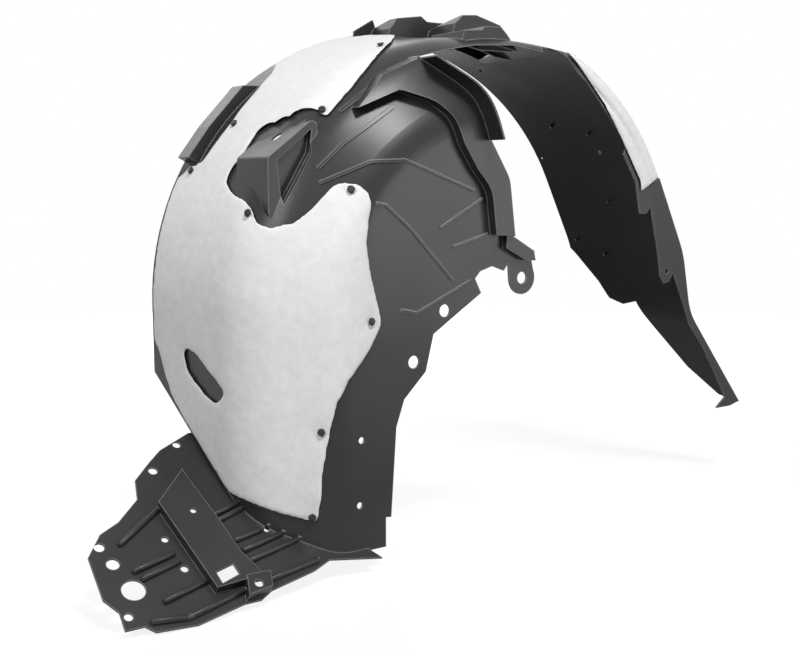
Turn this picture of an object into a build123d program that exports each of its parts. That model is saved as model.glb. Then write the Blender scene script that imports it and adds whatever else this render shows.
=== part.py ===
import math
import os

from build123d import *

# Sizes in millimetres, angles in degrees. The liner is drawn about the wheel axis: X rearward,
# Y outboard with 0 at the rim, Z up. Angles on the arch run from rearward (0) over the top (90)
# to forward (180). Outlines follow the arch, so their points are in hundredths of the rim radius:
# (X, Z) on the side walls, (X, slope) on the tray, (across, Z) for the front felt seen at its corner.

wall = 2.5

# Front half: a dome from the rim, over a round shoulder and a slanted flank, to the side wall
rim_radius = 375.0
shoulder_fall = 23.0
shoulder_depth = 225.0
shoulder_round = 90.0
fold_fall = 117.0
fold_round = 70.0
side_depth = 287.0
side_overlap = 70.0
dome_end = 91.0
flank_lean = 57.0
top_flank = 60.0
top_flank_end = 20.0

# Rear half: a narrower barrel with a small fold to its own side wall
rear_fall = 5.0
rear_depth = 250.0
rear_round = 14.0
rear_wall_width = 69.0
rear_start = 68.0
rear_end = 27.0
tail_straight = 129.0
tail_rounds = [150.0, 90.0]

# Undertray in front of the wheel, a plane that falls towards the inboard side
tray_slope = 35.0
tray_level = -88.5
band_height = 12.0
clip_height = 14.0
rib_width = 3.0
rib_height = 5.0

# Raised border and upright lip along the opening, and the creases of the side wall
border_height = 14.0
border_ramp = 60.0
border_angle = 113.0
border_round = 40.0
lip_round = 80.0
lip_height = 28.0
bead_height = 1.8
bead_width = 3.5

# Ear, corner bracket and fixing holes
ear_radius = 22.0
ear_box = 9.0
fixing_hole = 16.0
small_hole = 8.0
bracket_outer = 150.0
bracket_side = 232.0
bracket_round = 7.0
bracket_pocket = 8.0

# Felt sheets and their rivets
felt = 5.0
felt_gap = 0.3
felt_margin = 8.0
felt_corner = 35.0
rear_felt_start = 67.0
rear_felt_end = 15.0
rivet_shank = 6.0
rivet_head = 11.0
rivet_crown = 2.2
rivet_tail = 5.0
rivet_fit = 0.2

# Reach of cuts that pass right through, and of cuts that only pass one wall
far = 2000.0
through = 20.0

shoulder_radius = rim_radius - shoulder_fall
fold_radius = rim_radius - fold_fall
rear_radius = rim_radius - rear_fall


def drawn(points):
    """Outline points, given in hundredths of the rim radius, at full size."""
    return [(x * rim_radius / 100, z * rim_radius / 100) for x, z in points]


def shifted(points, distance):
    """An open outline moved sideways, to the left of its run."""
    lines = []
    for start, end in zip(points, points[1:]):
        run = Vector(*end) - Vector(*start)
        side = Vector(-run.Y, run.X).normalized() * distance
        lines.append((Vector(*start) + side, run.normalized(), Vector(*end) + side))
    moved = [lines[0][0]]
    for (a, u, _), (b, v, _) in zip(lines, lines[1:]):
        turn = u.X * v.Y - u.Y * v.X
        reach = ((b - a).X * v.Y - (b - a).Y * v.X) / turn
        moved.append(a + u * reach)
    return moved + [lines[-1][2]]


def band(points, rounds, low, high):
    """The face between two copies of a rounded outline, moved sideways by low and by high."""
    inner = FilletPolyline(*shifted(points, low), radius=[r + low for r in rounds])
    outer = FilletPolyline(*shifted(points, high), radius=[r + high for r in rounds])
    ends = [Line(inner @ 0, outer @ 0), Line(inner @ 1, outer @ 1)]
    return make_face(inner.edges() + outer.edges() + ends)


def rounded(points, radius):
    """A closed face with every corner rounded."""
    return make_face(FilletPolyline(*points, radius=radius, close=True).edges())


def polygon(points):
    return make_face(Polyline(*points, close=True).edges())


def strip(points, width):
    """A line drawn with a width, as a face."""
    return polygon(shifted(points, width / 2) + shifted(points, -width / 2)[::-1])


def at_angle(angle):
    return Rot(0, -angle, 0)


def polar(angle, radius):
    """A point of the side view at an angle on the arch."""
    return (radius * math.cos(math.radians(angle)), radius * math.sin(math.radians(angle)))


def side_prism(face, near, deep):
    """A side-view face as a block between two depths inboard of the rim."""
    return Pos(0, -near, 0) * extrude(Plane.XZ * face, amount=deep - near)


corner_turn = math.radians(felt_corner)
corner_plane = Plane(
    origin=(0, 0, 0),
    x_dir=(math.cos(corner_turn), -math.sin(corner_turn), 0),
    z_dir=(-math.sin(corner_turn), -math.cos(corner_turn), 0),
)
tray_plane = Plane(
    origin=(0, 0, tray_level),
    x_dir=(1, 0, 0),
    z_dir=(0, -math.sin(math.radians(tray_slope)), math.cos(math.radians(tray_slope))),
)


def tray_prism(face, low, high):
    return extrude(tray_plane.offset(low) * face, amount=high - low)


# Skins: the moulded wall and the felt are the same surfaces at different distances

front_outline = [
    (rim_radius, 0),
    (shoulder_radius, -shoulder_depth),
    (fold_radius, -side_depth),
    (fold_radius - side_overlap, -side_depth),
]
front_rounds = [shoulder_round, fold_round]
rear_outline = [
    (rear_radius, 0),
    (rear_radius, -rear_depth),
    (rear_radius - rear_wall_width, -rear_depth),
]
side_plate_outline = drawn(
    [
        (-18.7, 57.3),
        (-9.1, 58.4),
        (-0.5, 45.1),
        (2.1, 25.1),
        (2.1, 16),
        (-0.3, 12.8),
        (-5.6, 14.7),
        (-10.9, 13.1),
        (-13.1, 10.7),
        (-10.4, 5.6),
        (-30.7, -7.2),
        (-33.9, -19.7),
        (-42.7, -28.3),
        (-45.9, -37.3),
        (-48, -68),
        (-55.5, -67.2),
        (-56.5, -107),
        (-60.3, -107),
        (-60.3, 0),
        (-53.3, 25.3),
        (-37.3, 46.7),
    ]
)


def front_skin(low, high):
    section = at_angle(180) * band(front_outline, front_rounds, low, high)
    dome = revolve(section, Axis.Y, 180 - dome_end)
    skirt = extrude(section, amount=far, dir=(0, 0, -1))
    plate = side_prism(polygon(side_plate_outline), side_depth + low, side_depth + high)
    return dome + [skirt, plate]


def rear_skin(low, high):
    section = at_angle(rear_start) * band(rear_outline, [rear_round], low, high)
    return revolve(section, Axis.Y, rear_start - rear_end)


def top_section(angle, low, high):
    """Barrel and shoulder between the dome and the rear barrel, blended over the top."""
    share = (dome_end - angle) / (dome_end - rear_start)
    depth = shoulder_depth + (rear_depth - shoulder_depth) * share
    radius = shoulder_radius + (rear_radius - shoulder_radius) * share
    bend = shoulder_round + (rear_round - shoulder_round) * share
    lean = math.radians(flank_lean + (90 - flank_lean) * share)
    drop = top_flank + (top_flank_end - top_flank) * share
    rim = rim_radius + (rear_radius - rim_radius) * share
    end = (radius - drop * math.sin(lean), -depth - drop * math.cos(lean))
    outline = [(rim, 0), (radius, -depth), end]
    return at_angle(angle) * band(outline, [bend], low, high)


def top_skin(low, high):
    steps = 4
    angles = [dome_end + (rear_start - dome_end) * i / (steps - 1) for i in range(steps)]
    return loft([top_section(angle, low, high) for angle in angles])


tail_top = Vector(*polar(rear_end, rear_radius))
tail_bend = tail_top + Vector(*polar(rear_end - 90, tail_straight))
tail_outline = [tail_top, tail_bend, *drawn([(108.8, -10.7), (142.9, -52.3)])]


def tail_skin(low, high):
    """The flap below the rear barrel, which leaves it on a tangent."""
    return side_prism(band(tail_outline, tail_rounds, low, high), 0, rear_depth)


def front_fill(low):
    """Everything inside the front skin, down past the tray."""
    outline = shifted(front_outline, low)
    edge = FilletPolyline(*outline, radius=[r + low for r in front_rounds])
    inner_end = (0, outline[-1].Y)
    closing = Polyline(edge @ 1, inner_end, (0, through), (rim_radius + low, through), edge @ 0)
    section = at_angle(180) * make_face(edge.edges() + closing.edges())
    return revolve(section, Axis.Y, 180 - dome_end) + extrude(section, amount=far, dir=(0, 0, -1))


# Openings and free edges of the shell

rear_edge_outline = drawn(
    [
        polar(73, 99.2),
        polar(68, 96.5),
        polar(62, 93.1),
        polar(53, 89.9),
        polar(44, 87.2),
        polar(30, 86.1),
        (77.1, 30.9),
        (81.1, 30.9),
        (83.2, 33.6),
        (88.8, 12.8),
        (90.1, 5.3),
        (92.3, 2.4),
        (95.5, 2.9),
        (97.6, 6.4),
        (102.4, -2.7),
        (108.8, -16),
        (117.3, -25.6),
        (125.3, -37.3),
        (133.3, -49.6),
        (106.7, -69.3),
        (26.7, -26.7),
        (16, 66.7),
    ]
)
tail_cut_outline = drawn(
    [
        (5.3, 17.6),
        (-3.2, 10.1),
        (-15.5, -1.6),
        (-20.8, -8.8),
        (-28.3, -10.9),
        (-36.8, -8.8),
        (-40.5, -20),
        (-47.5, -38.7),
        (-57.1, -50.7),
        (-64, -52.3),
        (-80, -61.3),
        (-80, -106.7),
        (5.3, -106.7),
    ]
)

# Main shell: dome, top, rear barrel and tail, trimmed to their free edges

everywhere = polygon([(-far, -far), (far, -far), (far, far), (-far, far)])
wheel_space = front_fill(-wall)
tail_line = FilletPolyline(*tail_outline, radius=tail_rounds)
tail_back = drawn([(128, -56), (106.7, -32), (88, 5.3), polar(rear_end, 80)])
tail_face = make_face(tail_line.edges() + Polyline(tail_line @ 1, *tail_back, tail_line @ 0).edges())
tail_plate = side_prism(tail_face, rear_depth - wall, rear_depth)
shell = front_skin(-wall, 0) - tray_prism(everywhere, -far, -wall)
shell += [top_skin(-wall, 0), rear_skin(-wall, 0), tail_skin(-wall, 0), tail_plate]
tail_cut = extrude(Plane.YZ * polygon(tail_cut_outline), amount=far)
shell -= [side_prism(polygon(rear_edge_outline), rear_depth - through, rear_depth + through), tail_cut]

# Raised border round the opening with a ramp at its front end, its upright lip, and the stiffening beads

step_line = drawn(
    [
        (-40.5, 73.9),
        (-29.9, 70.4),
        (-24.5, 65.1),
        (-20.8, 56.3),
        (-14.9, 47.7),
        (-8.8, 41.1),
        (-6.7, 25.6),
    ]
)
edge_line = drawn([polar(109, 90.1), (-16, 74.9), (-9.6, 57.9), (-1.1, 44.8), (1.6, 25.1)])
opening_far = drawn(
    [
        (16, 0),
        (42.7, 0),
        polar(40, 90.1),
        polar(60, 93.3),
        polar(70, 95.2),
        polar(80, 93.9),
        polar(90, 91.7),
        polar(100, 90.1),
    ]
)
bead_lines = [
    [(-69.6, 43.7), (-53.9, 50.4), (-42.4, 50.9), (-13.9, 40.8)],
    [(-53.9, 37.1), (-50.1, 36.5), (-40.5, 28.8), (-22.9, 10.7)],
    [(-69.3, 48.3), (-60.5, 56.3), (-42.1, 68.5)],
    [(-58.7, 66.7), (-38.9, 80.8), (-27.7, 85.6)],
    [(-28.3, 28.5), (-10.4, 38.1)],
    [(-22.9, 21.9), (-8, 25.9)],
    [(-44.3, 1.9), (-37.6, 0.5), (-15.5, 10.1)],
]
cut_near = shoulder_depth - shoulder_round
cut_deep = side_depth + through + lip_height + border_height
border_start = [step_line[0], edge_line[0]]
border_face = polygon(step_line + edge_line[::-1])
edge_rounds = [lip_round, border_round, border_round]
edge_curve = FilletPolyline(*edge_line, radius=edge_rounds)
opening_back = Polyline(edge_curve @ 1, *opening_far, edge_curve @ 0)
opening = side_prism(make_face(edge_curve.edges() + opening_back.edges()), cut_near, cut_deep)
riser_face = band(step_line, [border_round] * 5, 0, wall)
lip_face = band(edge_line[:3], [lip_round], -wall, 0)
border_sides = [riser_face, band(edge_line, edge_rounds, -wall, 0), strip(border_start, 2 * wall)]
flank = Vector(*front_outline[2]) - Vector(*front_outline[1])
flank_out = Vector(-flank.Y, flank.X).normalized()
ramp_top = Vector(*front_outline[1]) + flank / 2 + flank_out * border_height
ramp_up = flank_out * border_ramp + Vector(0, 0, border_height)
ramp_plane = at_angle(border_angle) * Plane(ramp_top, z_dir=ramp_up)
ramp_run = Vector(*polar(border_angle + 90, border_ramp))
ramp_face = polygon([*border_start, Vector(*edge_line[0]) + ramp_run, Vector(*step_line[0]) + ramp_run])
cap = front_skin(border_height - wall, border_height) & side_prism(border_face, cut_near, cut_deep)
sides = [front_skin(-wall, border_height) & side_prism(face, cut_near, cut_deep) for face in border_sides]
lip = front_skin(-wall, border_height + lip_height) & side_prism(lip_face, cut_near, cut_deep)
ramp = front_skin(-wall, border_height) & side_prism(ramp_face, cut_near, cut_deep)
ramp -= extrude(ramp_plane * everywhere, amount=far)
bead_faces = [strip(drawn(line), bead_width) for line in bead_lines]
beads = [front_skin(-wall / 2, bead_height) & side_prism(face, cut_near, cut_deep) for face in bead_faces]
shell -= side_prism(border_face, cut_near, cut_deep)
shell += [cap, *sides, lip, ramp, *beads]

# Undertray: plate, raised band, clip box, ribs and holes

tray_outline = drawn(
    [
        (-88, -32.3),
        (-98.9, -32.3),
        (-111.2, -38.1),
        (-116.3, -42.4),
        (-123.5, -49.1),
        (-125.3, -56.8),
        (-133.9, -64.3),
        (-140.8, -67.7),
        (-146.7, -75.2),
        (-146.9, -90.7),
        (-143.7, -96),
        (-144, -102.4),
        (-138.1, -102.4),
        (-135.5, -105.1),
        (-122.7, -106.1),
        (-106.4, -102.9),
        (-100.8, -102.9),
        (-96.3, -100.5),
        (-79.5, -97.1),
        (-72.5, -94.4),
        (-54.1, -98.1),
        (-57.3, -93.3),
        (-80, -66.7),
    ]
)
tray_band_outline = drawn(
    [(-108.3, -49.9), (-120.5, -61.6), (-114.1, -97.1), (-97.9, -96), (-101.9, -85.6), (-104, -72)]
)
clip_outline = drawn([(-103.7, -95.2), (-95.7, -95.5), (-97.3, -101.1), (-105.9, -102.4)])
window_outline = drawn([(-112.5, -91.7), (-106.1, -90.1), (-105.6, -94.1), (-112, -96)])
rib_lines = [
    [(-135.5, -101.9), (-124.5, -103.2), (-106.7, -98.9), (-76.5, -93.6)],
    [(-129.6, -96), (-115.7, -92.5)],
    [(-134.9, -83.5), (-121.9, -80.3)],
    [(-133.3, -86.7), (-121.3, -83.5)],
    [(-117.1, -75.5), (-104.3, -71.5), (-94.1, -68.3)],
    [(-104.3, -68.8), (-92, -65.1)],
    [(-100.8, -80), (-80, -75.5)],
    [(-99.2, -84.3), (-78.7, -79.5)],
    [(-98.7, -88.5), (-77.3, -83.7)],
    [(-120.3, -62.4), (-136, -72.8)],
]
tray_holes = [
    ((-137.3, -89.6), 27),
    ((-140.3, -79.2), 15),
    ((-142.4, -72.3), 12),
    ((-141.6, -98.1), 10),
    ((-116.5, -46.4), 11),
    ((-104.8, -36.8), 10),
    ((-110.9, -67.5), 7),
    ((-122.1, -74.1), 8),
    ((-120, -86.1), 9),
    ((-88.5, -77.9), 7),
    ((-101.3, -99.2), 10),
]
boxes = []
hollows = []
for outline, height in [(tray_band_outline, band_height), (clip_outline, clip_height)]:
    boxes.append(tray_prism(polygon(outline), -wall, height))
    hollows.append(tray_prism(offset(polygon(outline), -wall), -wall, height - wall))
ribs = [tray_prism(strip(drawn(line), rib_width), -wall, rib_height) for line in rib_lines]
tray = tray_prism(polygon(tray_outline), -wall, 0) + [*boxes, *ribs]
tray_cuts = [tray_prism(polygon(window_outline), -through, through)]
for place, diameter in tray_holes:
    tray_cuts.append(tray_prism(Pos(*drawn([place])[0]) * Circle(diameter / 2), -through, through))
tray -= [*hollows, *tray_cuts, wheel_space]

# Corner bracket: a hollow box on the shoulder, with a pocket in its side and a flat ledge cut into the dome

bracket_outline = drawn([(-84.8, 32.5), (-84.8, 51.6), (-66.7, 65.3), (-66.7, 32.5)])
bracket_line = bracket_outline[1:3]
pocket_outline = drawn([(-81.6, 50.7), (-68.8, 60.8), (-69.9, 53.3), (-80, 36.8)])
ledge_outline = [
    *bracket_line,
    (bracket_line[1][0], rim_radius),
    (-rim_radius, rim_radius),
    (-rim_radius, bracket_line[0][1]),
]
ledge = side_prism(offset(polygon(ledge_outline), wall), bracket_outer - wall, bracket_side) & front_fill(0)
bracket = side_prism(rounded(bracket_outline, bracket_round), bracket_outer, bracket_side)
bracket_space = side_prism(offset(polygon(bracket_outline), -wall), bracket_outer, bracket_side - wall)
pocket_floor = bracket_side - bracket_pocket
pocket_wall = side_prism(offset(polygon(pocket_outline), wall), pocket_floor - wall, bracket_side)
pocket = side_prism(polygon(pocket_outline), pocket_floor, bracket_side + through)

# Humps and tabs of the rim

front_tab = [
    (-53.3, 69.3),
    (-61.1, 78.1),
    (-67.5, 77.9),
    (-78.4, 66.1),
    (-81.3, 62.9),
    (-89.3, 52.3),
    (-77.3, 45.3),
]
front_hump = [
    (-11.7, 93.3),
    (-9.6, 101.1),
    (-6.4, 105.1),
    (4.8, 106.7),
    (7.7, 104.8),
    (20.3, 104.8),
    (22.4, 93.3),
]
rear_hump = [
    (6.4, 93.3),
    (9.1, 102.7),
    (12.8, 105.9),
    (19.2, 106.4),
    (30.9, 103.5),
    (34.4, 100.5),
    (37.1, 90.7),
]
low_hump = [
    (-4.8, 88),
    (-1.6, 97.3),
    (6.1, 97.9),
    (7.5, 99.2),
    (14.9, 99.5),
    (17.9, 97.1),
    (26.1, 88),
]
humps = [
    (front_tab, 6, 40, 0),
    (front_hump, 12, 70, 18),
    (rear_hump, 70, 130, 18),
    (low_hump, 130, 205, 0),
]
fin_outline = drawn([polar(101, 96), polar(100, 102.4), polar(95, 106.1), polar(93, 96)])
barrel = polygon(
    [(0, through), (rim_radius - wall, 0), (shoulder_radius - wall, -shoulder_depth), (0, -far)]
)
barrel_space = revolve(barrel, Axis.Y, 360)


def hump(outline, near, inboard, slope, inset):
    """A hump drawn on its inboard side, whose top falls towards the rim, or the space inside it."""
    points = drawn(outline)
    turn = math.radians(slope)
    top = Plane((0, -inboard, max(z for _, z in points) - inset), z_dir=(0, math.sin(turn), math.cos(turn)))
    block = side_prism(offset(polygon(points), -inset), near + inset, inboard - inset)
    return block - extrude(top * everywhere, amount=far)


hump_blocks = [hump(*shape, 0) - barrel_space for shape in humps]
hump_spaces = [hump(*shape, wall) for shape in humps]
fin = side_prism(polygon(fin_outline), through, through + wall)

shell -= side_prism(polygon(ledge_outline), bracket_outer, cut_deep)
shell += [tray, ledge, bracket - wheel_space, fin, *hump_blocks]
shell -= [opening, bracket_space, *hump_spaces]

# Ear and fixing holes

ear_spot = (8, 9.9)
ear_place = drawn([ear_spot])[0]
ear_outline = drawn(
    [(-1.6, 25.9), (1.6, 25.1), (11.5, 19.5), (13.9, 9.9), (2.1, 9.9), (1.6, 15.2), (-1.6, 15.2)]
)
ear_face = polygon(ear_outline) + Pos(*ear_place) * Circle(ear_radius)
ear_top = polygon(drawn([(-1.1, 25.6), (1.6, 25.1), (11.5, 19.5), (12.3, 16), (7.5, 16.3), (-1.1, 20.8)]))
ear_block = side_prism(ear_top, side_depth - wall, side_depth + ear_box)
ear_space = side_prism(offset(ear_top, -wall), side_depth - wall, side_depth + ear_box - wall)
shell += [pocket_wall & bracket, side_prism(ear_face, side_depth - wall, side_depth), ear_block]

side_holes = [
    (ear_spot, side_depth, fixing_hole),
    ((-38.9, -16), side_depth, fixing_hole),
    ((-26.1, 0.5), side_depth, fixing_hole),
    ((-59.7, -40), side_depth, small_hole),
    ((-60.5, -61.9), side_depth, small_hole),
    ((93.9, 7.2), rear_depth, small_hole),
]
barrel_holes = [(65, 37, small_hole), (34.5, 148, small_hole), (33, 9, 5)]
holes = [pocket, ear_space]
for place, depth, diameter in side_holes:
    face = Pos(*drawn([place])[0]) * Circle(diameter / 2)
    holes.append(side_prism(face, depth - through, depth + through))
for angle, depth, diameter in barrel_holes:
    bore = Pos(rim_radius, -depth, 0) * Rot(0, 90, 0) * Cylinder(diameter / 2, 4 * through)
    holes.append(at_angle(angle) * bore)
bracket_run = Vector(*bracket_line[1]) - Vector(*bracket_line[0])
bracket_middle = Vector(*bracket_line[0]) + bracket_run / 2
bracket_seat = Plane(
    (bracket_middle.X, -(bracket_outer + bracket_side) / 2, bracket_middle.Y),
    z_dir=(-bracket_run.Y, 0, bracket_run.X),
)
holes.append(bracket_seat * Cylinder(fixing_hole / 2, through))
shell -= holes

# Felt sheets: the same skins further out, cut to their die lines

front_felt_outline = drawn(
    [
        (4.3, 92.3),
        (-7.7, 74.9),
        (-15.5, 64.8),
        (-17.9, 64.3),
        (-23.5, 66.1),
        (-41.1, 58.1),
        (-44.5, 52.8),
        (-48.8, 48.3),
        (-50.4, 44),
        (-46.9, 40),
        (-41.9, 38.1),
        (-37.9, 35.2),
        (-35.2, 31.7),
        (-31.7, 30.7),
        (-25.9, 31.7),
        (-21.1, 35.5),
        (-13.6, 43.5),
        (-9.9, 44.5),
        (-5.3, 43.7),
        (-2.1, 40.8),
        (-1.1, 37.3),
        (-2.7, 24.3),
        (-1.3, 13.9),
        (1.9, -0.3),
        (1.9, -2.7),
        (-1.6, -10.1),
        (-8.5, -20),
        (-12.5, -27.5),
        (-16.5, -47.2),
        (-18.1, -64),
        (-19.7, -66.9),
        (-39.7, -60.8),
        (-56.5, -56.3),
        (-60.8, -51.7),
        (-65.6, -42.1),
        (-74.1, -30.4),
        (-79.7, -15.2),
        (-85.3, -5.3),
        (-85.3, 45.9),
        (-71.2, 45.9),
        (-65.9, 51.2),
        (-62.4, 50.7),
        (-52.3, 65.1),
        (-40, 82.9),
        (-40, 106.7),
        (5.3, 106.7),
        (5.3, 96),
    ]
)
felt_slot = drawn(
    [
        (-67.2, -12.3),
        (-61.1, -14.9),
        (-55.2, -20.3),
        (-50.1, -24.5),
        (-53.3, -28.8),
        (-58.4, -26.4),
        (-65.3, -20.3),
    ]
)
clear_of_tray = tray_prism(everywhere, -far, wall)
clear_of_bracket = side_prism(
    offset(polygon(bracket_outline), felt_margin), bracket_outer - felt_margin, bracket_side + felt_margin
)
clear_of_humps = [hump(*shape, -wall) for shape in humps]
clear_of_fin = side_prism(offset(polygon(fin_outline), wall), through - wall, through + 2 * wall)
outboard_of = Pos(0, far - felt_margin, 0) * Box(2 * far, 2 * far, 2 * far)
front_felt = front_skin(felt_gap, felt) & extrude(corner_plane * polygon(front_felt_outline), amount=far)
slot = extrude(corner_plane * rounded(felt_slot, 5), amount=far)
front_felt -= [slot, clear_of_tray, clear_of_bracket, clear_of_fin, *clear_of_humps, outboard_of]

fold_bevel = rear_round * (2 - math.sqrt(2))
rear_felt_line = [
    rear_outline[0],
    (rear_radius, fold_bevel - rear_depth),
    (rear_radius - fold_bevel, -rear_depth),
    rear_outline[2],
]
rear_felt_section = polygon(shifted(rear_felt_line, felt_gap) + shifted(rear_felt_line, felt)[::-1])
rear_felt = revolve(at_angle(rear_felt_start) * rear_felt_section, Axis.Y, rear_felt_start - rear_end)
rear_felt += tail_skin(felt_gap, felt)
clear_of_edge = side_prism(
    offset(polygon(rear_edge_outline), 2 * wall), rear_depth - through, rear_depth + through
)
clear_of_tail = extrude(Plane.YZ * offset(polygon(tail_cut_outline), felt_margin), amount=far)
below_felt = Pos(0, 0, rear_felt_end - far) * Box(2 * far, 2 * far, 2 * far)
rear_felt -= [outboard_of, clear_of_edge, clear_of_tail, below_felt, *clear_of_humps]

# Push rivets, square to the felt where they stand

front_rivet_spots = drawn(
    [
        (0.3, 90.9),
        (-17.9, 67.2),
        (-50.7, 64),
        (-66.4, 47.7),
        (-41.1, 34.1),
        (-8, 41.6),
        (-1.6, -0.8),
        (-17.6, -35.7),
        (-20.8, -64),
    ]
)
rear_rivet_spots = [(43, 77), (40, 147), (21, 131), (10, 24), (6.5, 84)]
shank_length = felt + wall + rivet_tail
rivet_shape = extrude(Pos(0, 0, rivet_fit) * RegularPolygon(rivet_head / 2, 8), rivet_crown, taper=30)
rivet_shape += extrude(Pos(0, 0, rivet_fit) * RegularPolygon(rivet_shank / 2, 6), -shank_length)
rivet_hole = extrude(RegularPolygon(rivet_shank / 2 + rivet_fit, 6), 2 * shank_length, both=True)


def seats(sheet, axes):
    """The planes on the outside of a felt sheet where a set of lines leaves it."""
    skin = sheet.solid().shells()[0]
    planes = []
    for axis in axes:
        hits = skin.find_intersection_points(axis)
        point, normal = max(hits, key=lambda hit: hit[0].dot(axis.direction))
        planes.append(Plane(point, z_dir=normal))
    return planes


front_axes = [
    Axis(corner_plane.from_local_coords((x, z, 0)), corner_plane.z_dir) for x, z in front_rivet_spots
]
rear_axes = []
for angle, depth in rear_rivet_spots:
    x, z = polar(angle, 1)
    rear_axes.append(Axis((0, -depth, 0), (x, 0, z)))
front_seats = seats(front_felt, front_axes)
rear_seats = seats(rear_felt, rear_axes)
front_felt -= [plane * rivet_hole for plane in front_seats]
rear_felt -= [plane * rivet_hole for plane in rear_seats]
shell -= [plane * rivet_hole for plane in front_seats + rear_seats]

nodes = {
    "liner_shell": shell,
    "front_felt": front_felt,
    "rear_felt": rear_felt,
    "front_felt_rivets": Compound(children=[plane * rivet_shape for plane in front_seats]),
    "rear_felt_rivets": Compound(children=[plane * rivet_shape for plane in rear_seats]),
}
to_ear = Pos(-ear_place[0], side_depth, -ear_place[1])
os.makedirs("parts", exist_ok=True)
for name, shape in nodes.items():
    export_step(to_ear * shape, f"parts/{name}.step")
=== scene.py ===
import math

import bmesh
import bpy
from mathutils import Matrix, Vector, kdtree, noise


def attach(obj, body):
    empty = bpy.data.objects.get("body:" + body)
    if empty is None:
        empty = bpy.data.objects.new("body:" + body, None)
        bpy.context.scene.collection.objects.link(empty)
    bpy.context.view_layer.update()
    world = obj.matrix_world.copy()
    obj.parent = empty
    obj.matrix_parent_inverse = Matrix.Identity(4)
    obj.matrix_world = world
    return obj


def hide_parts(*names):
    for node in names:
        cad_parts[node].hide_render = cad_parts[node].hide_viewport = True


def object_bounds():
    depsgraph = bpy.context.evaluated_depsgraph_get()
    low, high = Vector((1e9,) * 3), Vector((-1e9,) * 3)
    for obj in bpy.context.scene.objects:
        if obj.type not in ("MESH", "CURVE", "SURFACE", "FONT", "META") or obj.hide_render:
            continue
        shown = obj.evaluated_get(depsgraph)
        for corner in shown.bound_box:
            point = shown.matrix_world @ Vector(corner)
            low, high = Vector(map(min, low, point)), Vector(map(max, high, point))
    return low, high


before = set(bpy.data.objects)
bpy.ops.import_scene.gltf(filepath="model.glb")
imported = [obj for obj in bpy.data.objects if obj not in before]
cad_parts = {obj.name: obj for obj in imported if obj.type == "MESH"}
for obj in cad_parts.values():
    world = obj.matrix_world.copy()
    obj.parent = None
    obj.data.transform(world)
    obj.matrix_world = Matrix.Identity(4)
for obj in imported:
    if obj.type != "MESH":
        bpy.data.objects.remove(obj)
cad_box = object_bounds()


# Moulded shell
# The arch, side wall, bracket, undertray and tail are one injection moulding in black polypropylene.
# The tool leaves it with a fine satin grain, glossier on the body side, and a painted highlight makes its
# edges paler.
edge_radius = 0.0022
edge_begins = 0.995
edge_full = 0.86
# Pale grey of the painted highlight along the shell's edges.
edge_highlight_grey = 0.24
wheel_side_spot = (-0.03, 0.25, -0.6)
side_blend = 0.02
body_side_coat = 0.4
coat_roughness = 0.3
plastic_specular = 0.04
patch_low = 0.35
patch_high = 0.65
bump_strength = 0.4


def add(tree, kind, **values):
    """A new node, with its inputs and properties set by name."""
    node = tree.nodes.new(kind)
    for key, value in values.items():
        if key in node.inputs:
            node.inputs[key].default_value = value
        else:
            setattr(node, key, value)
    return node


def socket_group(name, inputs, outputs):
    """An empty shader group with named sockets, and the nodes at its two ends."""
    group = bpy.data.node_groups.new(name, "ShaderNodeTree")
    for socket, value in inputs:
        made = group.interface.new_socket(socket, in_out="INPUT", socket_type="NodeSocketFloat")
        made.default_value = value
    for socket, kind in outputs:
        group.interface.new_socket(socket, in_out="OUTPUT", socket_type=kind)
    return group, add(group, "NodeGroupInput"), add(group, "NodeGroupOutput")


uneven_surface, uneven_in, uneven_out = socket_group(
    "uneven_surface",
    [("Broad", 6.0), ("Fine", 900.0)],
    [("Patches", "NodeSocketFloat"), ("Grain", "NodeSocketFloat")],
)
uneven_place = add(uneven_surface, "ShaderNodeTexCoord")
for scale, result, detail in (("Broad", "Patches", 1.0), ("Fine", "Grain", 4.0)):
    texture = add(uneven_surface, "ShaderNodeTexNoise", Detail=detail, Roughness=0.6)
    uneven_surface.links.new(uneven_place.outputs["Object"], texture.inputs["Vector"])
    uneven_surface.links.new(uneven_in.outputs[scale], texture.inputs["Scale"])
    uneven_surface.links.new(texture.outputs["Fac"], uneven_out.inputs[result])

soft_edges, soft_in, soft_out = socket_group(
    "soft_edges",
    [("Radius", 0.001)],
    [("Edge", "NodeSocketFloat"), ("Normal", "NodeSocketVector")],
)
soft_bevel = add(soft_edges, "ShaderNodeBevel", samples=6)
soft_flat = add(soft_edges, "ShaderNodeNewGeometry")
soft_dot = add(soft_edges, "ShaderNodeVectorMath", operation="DOT_PRODUCT")
soft_mask = add(soft_edges, "ShaderNodeMapRange")
soft_mask.inputs["From Min"].default_value = edge_begins
soft_mask.inputs["From Max"].default_value = edge_full
soft_edges.links.new(soft_in.outputs["Radius"], soft_bevel.inputs["Radius"])
soft_edges.links.new(soft_bevel.outputs["Normal"], soft_dot.inputs[0])
soft_edges.links.new(soft_flat.outputs["Normal"], soft_dot.inputs[1])
soft_edges.links.new(soft_dot.outputs["Value"], soft_mask.inputs["Value"])
soft_edges.links.new(soft_mask.outputs["Result"], soft_out.inputs["Edge"])
soft_edges.links.new(soft_bevel.outputs["Normal"], soft_out.inputs["Normal"])

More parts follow.
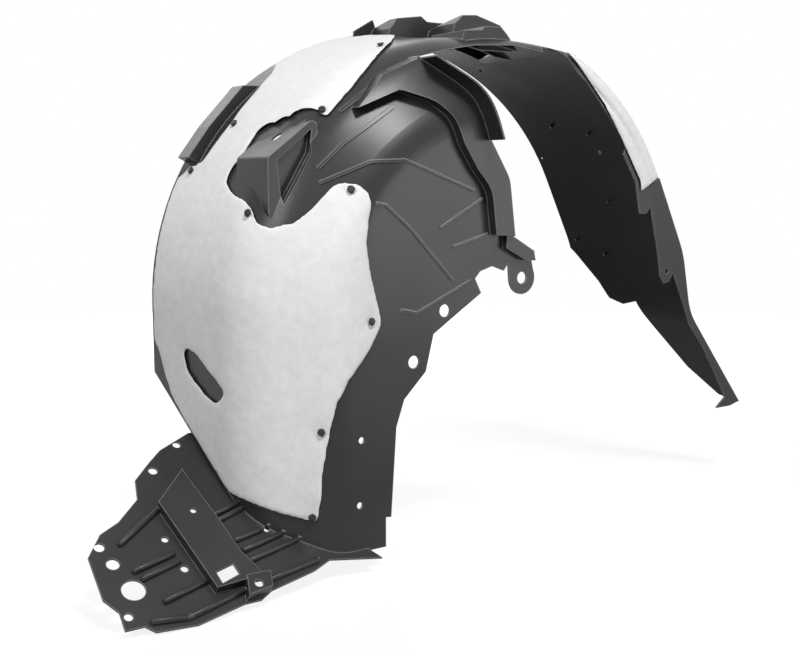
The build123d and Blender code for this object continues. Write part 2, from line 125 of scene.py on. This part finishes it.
# The body side is where a face looks away from a spot on the wheel side.
body_side, _, body_out = socket_group("body_side", [], [("Mask", "NodeSocketFloat")])
body_spot = add(body_side, "ShaderNodeTexCoord")
body_facing = add(body_side, "ShaderNodeNewGeometry")
body_away = add(body_side, "ShaderNodeVectorMath", operation="SUBTRACT")
body_away.inputs[1].default_value = wheel_side_spot
body_dot = add(body_side, "ShaderNodeVectorMath", operation="DOT_PRODUCT")
body_mask = add(body_side, "ShaderNodeMapRange")
body_mask.inputs["From Min"].default_value = -side_blend
body_mask.inputs["From Max"].default_value = side_blend
body_side.links.new(body_spot.outputs["Object"], body_away.inputs[0])
body_side.links.new(body_away.outputs["Vector"], body_dot.inputs[0])
body_side.links.new(body_facing.outputs["True Normal"], body_dot.inputs[1])
body_side.links.new(body_dot.outputs["Value"], body_mask.inputs["Value"])
body_side.links.new(body_mask.outputs["Result"], body_out.inputs["Mask"])


def grey(value):
    """A grey as a colour socket takes it."""
    return (value, value, value, 1.0)


def ramp(tree, source, low, high):
    """A colour that goes from low to high across the middle of a noise."""
    node = add(tree, "ShaderNodeValToRGB")
    node.color_ramp.elements[0].position = patch_low
    node.color_ramp.elements[0].color = low
    node.color_ramp.elements[1].position = patch_high
    node.color_ramp.elements[1].color = high
    tree.links.new(source, node.inputs["Fac"])
    return node.outputs["Color"]


def surface(name, dark, light, rough, smooth, broad, fine, sway, depth):
    """A material that sways, and drifts in colour and gloss, in patches under a fine grain."""
    material = bpy.data.materials.new(name)
    material.use_nodes = True
    tree = material.node_tree
    shader = tree.nodes["Principled BSDF"]
    uneven = add(tree, "ShaderNodeGroup", node_tree=uneven_surface)
    uneven.inputs["Broad"].default_value = broad
    uneven.inputs["Fine"].default_value = fine
    patches = uneven.outputs["Patches"]
    waves = add(tree, "ShaderNodeBump", Strength=bump_strength, Distance=sway)
    bump = add(tree, "ShaderNodeBump", Strength=bump_strength, Distance=depth)
    tree.links.new(patches, waves.inputs["Height"])
    tree.links.new(waves.outputs["Normal"], bump.inputs["Normal"])
    tree.links.new(ramp(tree, patches, grey(dark), grey(light)), shader.inputs["Base Color"])
    tree.links.new(ramp(tree, patches, grey(rough), grey(smooth)), shader.inputs["Roughness"])
    tree.links.new(uneven.outputs["Grain"], bump.inputs["Height"])
    tree.links.new(bump.outputs["Normal"], shader.inputs["Normal"])
    return material


def round_and_highlight_edges(material, radius, pale):
    """Rounds the edges of a moulding in its shading and paints them paler, as a painted highlight along
    the edges.
    """
    tree = material.node_tree
    shader = tree.nodes["Principled BSDF"]
    edges = add(tree, "ShaderNodeGroup", node_tree=soft_edges)
    edges.inputs["Radius"].default_value = radius
    # Painted highlight: the base colour is mixed towards a pale grey at the edges.
    painted_highlight = add(tree, "ShaderNodeMix", data_type="RGBA")
    # A Mix of colours takes them in sockets 6 and 7 and gives its result in 2.
    tree.links.new(shader.inputs["Base Color"].links[0].from_socket, painted_highlight.inputs[6])
    painted_highlight.inputs[7].default_value = grey(pale)
    tree.links.new(edges.outputs["Edge"], painted_highlight.inputs["Factor"])
    tree.links.new(painted_highlight.outputs[2], shader.inputs["Base Color"])
    waves = shader.inputs["Normal"].links[0].from_node.inputs["Normal"].links[0].from_node
    tree.links.new(edges.outputs["Normal"], waves.inputs["Normal"])


def wear(piece, material):
    """Gives a piece one material all over."""
    piece.data.materials.clear()
    piece.data.materials.append(material)


shell_plastic = surface(
    "satin_black_polypropylene",
    dark=0.026,
    light=0.034,
    rough=0.33,
    smooth=0.25,
    broad=9.0,
    fine=700.0,
    sway=0.005,
    depth=0.0001,
)
shell_tree = shell_plastic.node_tree
shell_side = add(shell_tree, "ShaderNodeGroup", node_tree=body_side)
shell_gloss = add(shell_tree, "ShaderNodeMapRange")
shell_gloss.inputs["To Max"].default_value = body_side_coat
shell_tree.links.new(shell_side.outputs["Mask"], shell_gloss.inputs["Value"])
shell_shader = shell_tree.nodes["Principled BSDF"]
shell_shader.inputs["Specular IOR Level"].default_value = plastic_specular
shell_shader.inputs["Coat Roughness"].default_value = coat_roughness
shell_tree.links.new(shell_gloss.outputs["Result"], shell_shader.inputs["Coat Weight"])
# Rounded edges in the shading, with a painted highlight along them.
round_and_highlight_edges(shell_plastic, edge_radius, edge_highlight_grey)
wear(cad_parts["liner_shell"], shell_plastic)


# Tray ribs
# The undertray is stiffened by round-topped ribs, 8 mm wide, that run out in round ends.
# They belong to the moulding: this piece rounds off its plain ribs in the same plastic.
rib_half_width = 0.004
rib_height = 0.0062
rib_root = 0.0006
rib_around = 16
rib_along = 9
tray_unit = 0.00375
tray_slope = math.radians(35.0)
tray_place = Matrix.Translation((-0.03, 0.287, -0.1256)) @ Matrix.Rotation(tray_slope, 4, "X")
middle_of_ball = (0, 0, 0)
rib_runs = [
    ((-135.5, -101.9), (-124.5, -103.2)),
    ((-124.5, -103.2), (-105.7, -98.7)),
    ((-95.6, -96.95), (-77.5, -93.8)),
    ((-129.6, -96.0), (-115.7, -92.5)),
    ((-134.9, -83.5), (-121.9, -80.3)),
    ((-133.3, -86.7), (-121.3, -83.5)),
    ((-103.5, -71.25), (-93.5, -68.1)),
    ((-103.9, -68.7), (-94.3, -65.8)),
    ((-100.8, -80.0), (-91.0, -77.9)),
    ((-99.2, -84.3), (-84.8, -80.95)),
    ((-98.7, -88.5), (-80.5, -84.4)),
    ((-121.0, -62.9), (-136.0, -72.8)),
]

rib_mesh = bpy.data.meshes.new("tray_ribs")
tray_ribs = bpy.data.objects.new("tray_ribs", rib_mesh)
bpy.context.collection.objects.link(tray_ribs)
work = bmesh.new()
# Each rib is a ball drawn out along its run on a level tray.
for start, end in rib_runs:
    start = Vector((*start, 0.0)) * tray_unit
    run = Vector((*end, 0.0)) * tray_unit - start
    lay_down = Matrix.Rotation(math.pi / 2, 3, "Y")
    turn = Matrix.Rotation(math.atan2(run.y, run.x), 3, "Z")
    ball = bmesh.ops.create_uvsphere(
        work, u_segments=rib_around, v_segments=rib_along, radius=rib_half_width
    )["verts"]
    bmesh.ops.rotate(work, verts=ball, cent=middle_of_ball, matrix=lay_down)
    far_half = [vert for vert in ball if vert.co.x > 0]
    bmesh.ops.translate(work, verts=far_half, vec=(run.length, 0, 0))
    bmesh.ops.scale(work, verts=ball, vec=(1, 1, rib_height / rib_half_width))
    bmesh.ops.rotate(work, verts=ball, cent=middle_of_ball, matrix=turn)
    bmesh.ops.translate(work, verts=ball, vec=start)
for face in work.faces:
    face.smooth = True
# What lies below the tray's top is cut off and closed, and the tray is then tilted into place.
whole = work.verts[:] + work.edges[:] + work.faces[:]
cut = bmesh.ops.bisect_plane(
    work, geom=whole, plane_co=(0, 0, -rib_root), plane_no=(0, 0, 1), clear_inner=True
)["geom_cut"]
bmesh.ops.edgeloop_fill(work, edges=[part for part in cut if isinstance(part, bmesh.types.BMEdge)])
bmesh.ops.recalc_face_normals(work, faces=work.faces)
bmesh.ops.transform(work, matrix=tray_place, verts=work.verts)
work.to_mesh(rib_mesh)
work.free()
wear(tray_ribs, shell_plastic)
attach(tray_ribs, "root")


# Felt sheets
# Each is one die-cut sheet of off-white needle-punched felt laid on the body side of the shell.
# The needled web is a few millimetres thick, soft at its cut edges, and a rivet dimples it.
felt_grid = 0.0024
felt_smoothing = 30
felt_sheen = 0.25
felt_lumps = 0.0005
lumps_per_metre = 22.0
lump_fade, lump_step, lump_layers = 0.8, 2.0, 3
dimple_reach = 0.016
dimple_depth = 0.0012
wheel_axis = Vector((-0.03, -0.0371))
crease_radius = 0.347
crease_width = 0.0035
crease_depth = 0.0028
crease_facing = -0.5
same_point = 1e-6

felt_cloth = surface(
    "needled_felt",
    dark=0.755,
    light=0.795,
    rough=0.98,
    smooth=0.92,
    broad=90.0,
    fine=420.0,
    sway=0.0003,
    depth=0.0007,
)
felt_cloth.node_tree.nodes["Principled BSDF"].inputs["Sheen Weight"].default_value = felt_sheen


def islands(mesh):
    """The middles of the separate solids of a node, from its loose triangles."""
    work = bmesh.new()
    work.from_mesh(mesh)
    bmesh.ops.remove_doubles(work, verts=work.verts, dist=same_point)
    left = set(work.verts)
    middles = []
    while left:
        queue = [left.pop()]
        found = []
        while queue:
            vert = queue.pop()
            found.append(vert.co.copy())
            for edge in vert.link_edges:
                other = edge.other_vert(vert)
                if other in left:
                    left.remove(other)
                    queue.append(other)
        middles.append(sum(found, Vector()) / len(found))
    work.free()
    return middles


def felt_sheet(name, node, rivets, creased):
    """A soft copy of a felt solid: an even fine mesh with rounded edges, slight lumps and dimples."""
    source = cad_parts[node]
    mesh = bpy.data.meshes.new(name)
    piece = bpy.data.objects.new(name, mesh)
    bpy.context.collection.objects.link(piece)
    work = bmesh.new()
    work.from_mesh(source.data)
    bmesh.ops.remove_doubles(work, verts=work.verts, dist=same_point)
    work.to_mesh(mesh)
    work.free()

    remesh = piece.modifiers.new("even_mesh", "REMESH")
    remesh.mode = "VOXEL"
    remesh.voxel_size = felt_grid
    soften = piece.modifiers.new("soft_edges", "SMOOTH")
    soften.factor = 0.5
    soften.iterations = felt_smoothing
    done = bpy.data.meshes.new_from_object(piece.evaluated_get(bpy.context.evaluated_depsgraph_get()))
    piece.modifiers.clear()
    piece.data = done

    middles = islands(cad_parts[rivets].data)
    near = kdtree.KDTree(len(middles))
    for index, middle in enumerate(middles):
        near.insert(middle, index)
    near.balance()
    work = bmesh.new()
    work.from_mesh(done)
    work.normal_update()
    for vert in work.verts:
        lump = noise.fractal(vert.co * lumps_per_metre, lump_fade, lump_step, lump_layers) * felt_lumps
        away = near.find(vert.co)[2]
        sink = dimple_depth * math.exp(-((away / dimple_reach) ** 2))
        if creased and vert.normal.y < crease_facing:
            across = (Vector((vert.co.x, vert.co.z)) - wheel_axis).length - crease_radius
            sink += crease_depth * math.exp(-((across / crease_width) ** 2))
        vert.co += vert.normal * (lump - felt_lumps - sink)
    work.to_mesh(done)
    work.free()
    done.shade_smooth()
    wear(piece, felt_cloth)
    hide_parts(node)
    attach(piece, "root")


felt_sheet("front_felt_sheet", "front_felt", "front_felt_rivets", False)
felt_sheet("rear_felt_sheet", "rear_felt", "rear_felt_rivets", True)


# Push rivets
# Small black nylon rivets pin the felt to the shell.
# Their low crowned heads are round and smooth.
rivet_grid = 0.0005
rivet_smoothing = 10
rivet_specular = 0.2

rivet_nylon = surface(
    "black_nylon",
    dark=0.026,
    light=0.040,
    rough=0.42,
    smooth=0.32,
    broad=80.0,
    fine=2500.0,
    sway=0.0001,
    depth=0.00005,
)
rivet_nylon.node_tree.nodes["Principled BSDF"].inputs["Specular IOR Level"].default_value = rivet_specular
for node in ("front_felt_rivets", "rear_felt_rivets"):
    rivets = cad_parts[node]
    wear(rivets, rivet_nylon)
    fine = rivets.modifiers.new("fine_mesh", "REMESH")
    fine.mode = "VOXEL"
    fine.voxel_size = rivet_grid
    fine.use_smooth_shade = True
    crown = rivets.modifiers.new("round_crown", "SMOOTH")
    crown.factor = 0.5
    crown.iterations = rivet_smoothing


# Studio
# A pale round floor that fades into a white surround and keeps a soft shadow.
# Broad lamps stand above, at both sides and behind, and the camera takes the photo's view.
floor_radius = 2.6
floor_gap = 0.001
floor_grey = 0.18
fade_begins, fade_ends = 0.7, 2.4
glow_near, glow_far = 0.78, 1.0
sky_on_object, sky_seen = 0.03, 1.0

low, high = cad_box
middle = Vector(((low[0] + high[0]) / 2, (low[1] + high[1]) / 2, low[2] - floor_gap))
floor_mesh = bpy.data.meshes.new("floor")
floor = bpy.data.objects.new("floor", floor_mesh)
bpy.context.collection.objects.link(floor)
work = bmesh.new()
bmesh.ops.create_circle(work, cap_ends=True, segments=96, radius=floor_radius)
bmesh.ops.translate(work, verts=work.verts, vec=middle)
work.to_mesh(floor_mesh)
work.free()


def seen_directly(tree):
    """1 where the camera sees the surface, itself or in a mirror or through glass."""
    path = add(tree, "ShaderNodeLightPath")
    mirrored = add(tree, "ShaderNodeMath", operation="MAXIMUM")
    seen = add(tree, "ShaderNodeMath", operation="MAXIMUM")
    tree.links.new(path.outputs["Is Glossy Ray"], mirrored.inputs[0])
    tree.links.new(path.outputs["Is Transmission Ray"], mirrored.inputs[1])
    tree.links.new(path.outputs["Is Camera Ray"], seen.inputs[0])
    tree.links.new(mirrored.outputs["Value"], seen.inputs[1])
    return seen.outputs["Value"]


floor_paint = bpy.data.materials.new("pale_floor")
floor_paint.use_nodes = True
paint = floor_paint.node_tree
paint_shader = paint.nodes["Principled BSDF"]
paint_shader.inputs["Base Color"].default_value = grey(floor_grey)
paint_shader.inputs["Roughness"].default_value = 0.9
paint_shader.inputs["Emission Color"].default_value = grey(1.0)
paint_place = add(paint, "ShaderNodeTexCoord")
paint_away = add(paint, "ShaderNodeVectorMath", operation="DISTANCE")
paint_away.inputs[1].default_value = middle
paint_fade = add(paint, "ShaderNodeMapRange")
paint_fade.inputs["From Min"].default_value = fade_begins
paint_fade.inputs["From Max"].default_value = fade_ends
paint_fade.inputs["To Min"].default_value = glow_near
paint_fade.inputs["To Max"].default_value = glow_far
paint_glow = add(paint, "ShaderNodeMath", operation="MULTIPLY")
paint.links.new(paint_place.outputs["Object"], paint_away.inputs[0])
paint.links.new(paint_away.outputs["Value"], paint_fade.inputs["Value"])
paint.links.new(paint_fade.outputs["Result"], paint_glow.inputs[0])
paint.links.new(seen_directly(paint), paint_glow.inputs[1])
paint.links.new(paint_glow.outputs["Value"], paint_shader.inputs["Emission Strength"])
wear(floor, floor_paint)

world = bpy.data.worlds.new("white_surround")
bpy.context.scene.world = world
world.use_nodes = True
sky = world.node_tree
surround = sky.nodes["Background"]
surround.inputs["Color"].default_value = grey(1.0)
sky_level = add(sky, "ShaderNodeMapRange")
sky_level.inputs["To Min"].default_value = sky_on_object
sky_level.inputs["To Max"].default_value = sky_seen
sky.links.new(seen_directly(sky), sky_level.inputs["Value"])
sky.links.new(sky_level.outputs["Result"], surround.inputs["Strength"])


def lamp(name, place, aim, size, watts):
    """A rectangular soft lamp turned towards a point."""
    light = bpy.data.lights.new(name, "AREA")
    light.shape = "RECTANGLE"
    light.size, light.size_y = size
    light.energy = watts
    holder = bpy.data.objects.new(name, light)
    bpy.context.collection.objects.link(holder)
    holder.location = place
    holder.rotation_euler = (Vector(aim) - Vector(place)).to_track_quat("-Z", "Y").to_euler()


lamp("key_lamp", place=(-0.25, -1.25, 2.1), aim=(-0.1, 0.1, 0.1), size=(0.6, 0.4), watts=46)
lamp("side_lamp", place=(-2.2, -0.8, 1.3), aim=(-0.1, 0.1, 0.1), size=(1.2, 1.0), watts=34)
lamp("wall_lamp", place=(1.3, -2.0, 0.1), aim=(-0.1, 0.0, 0.05), size=(1.3, 0.9), watts=17)
lamp("back_lamp", place=(0.1, 2.1, 1.25), aim=(-0.1, 0.1, 0.2), size=(2.0, 1.2), watts=9)
lamp("wheel_side_lamp", place=(0.7, 2.5, 0.4), aim=(-0.1, 0.1, 0.0), size=(1.2, 1.0), watts=45)

camera = bpy.data.objects.new("camera", bpy.data.cameras.new("camera"))
bpy.context.collection.objects.link(camera)
camera.data.sensor_width = 36.0
camera.data.lens = 48.96
camera.location = (-0.9497, -1.1037, 0.1356)
aim = Vector((-0.001, 0.287, -0.101))
camera.rotation_euler = (aim - camera.location).to_track_quat("-Z", "Y").to_euler()
bpy.context.scene.camera = camera
bpy.context.scene.view_settings.view_transform = "Standard"
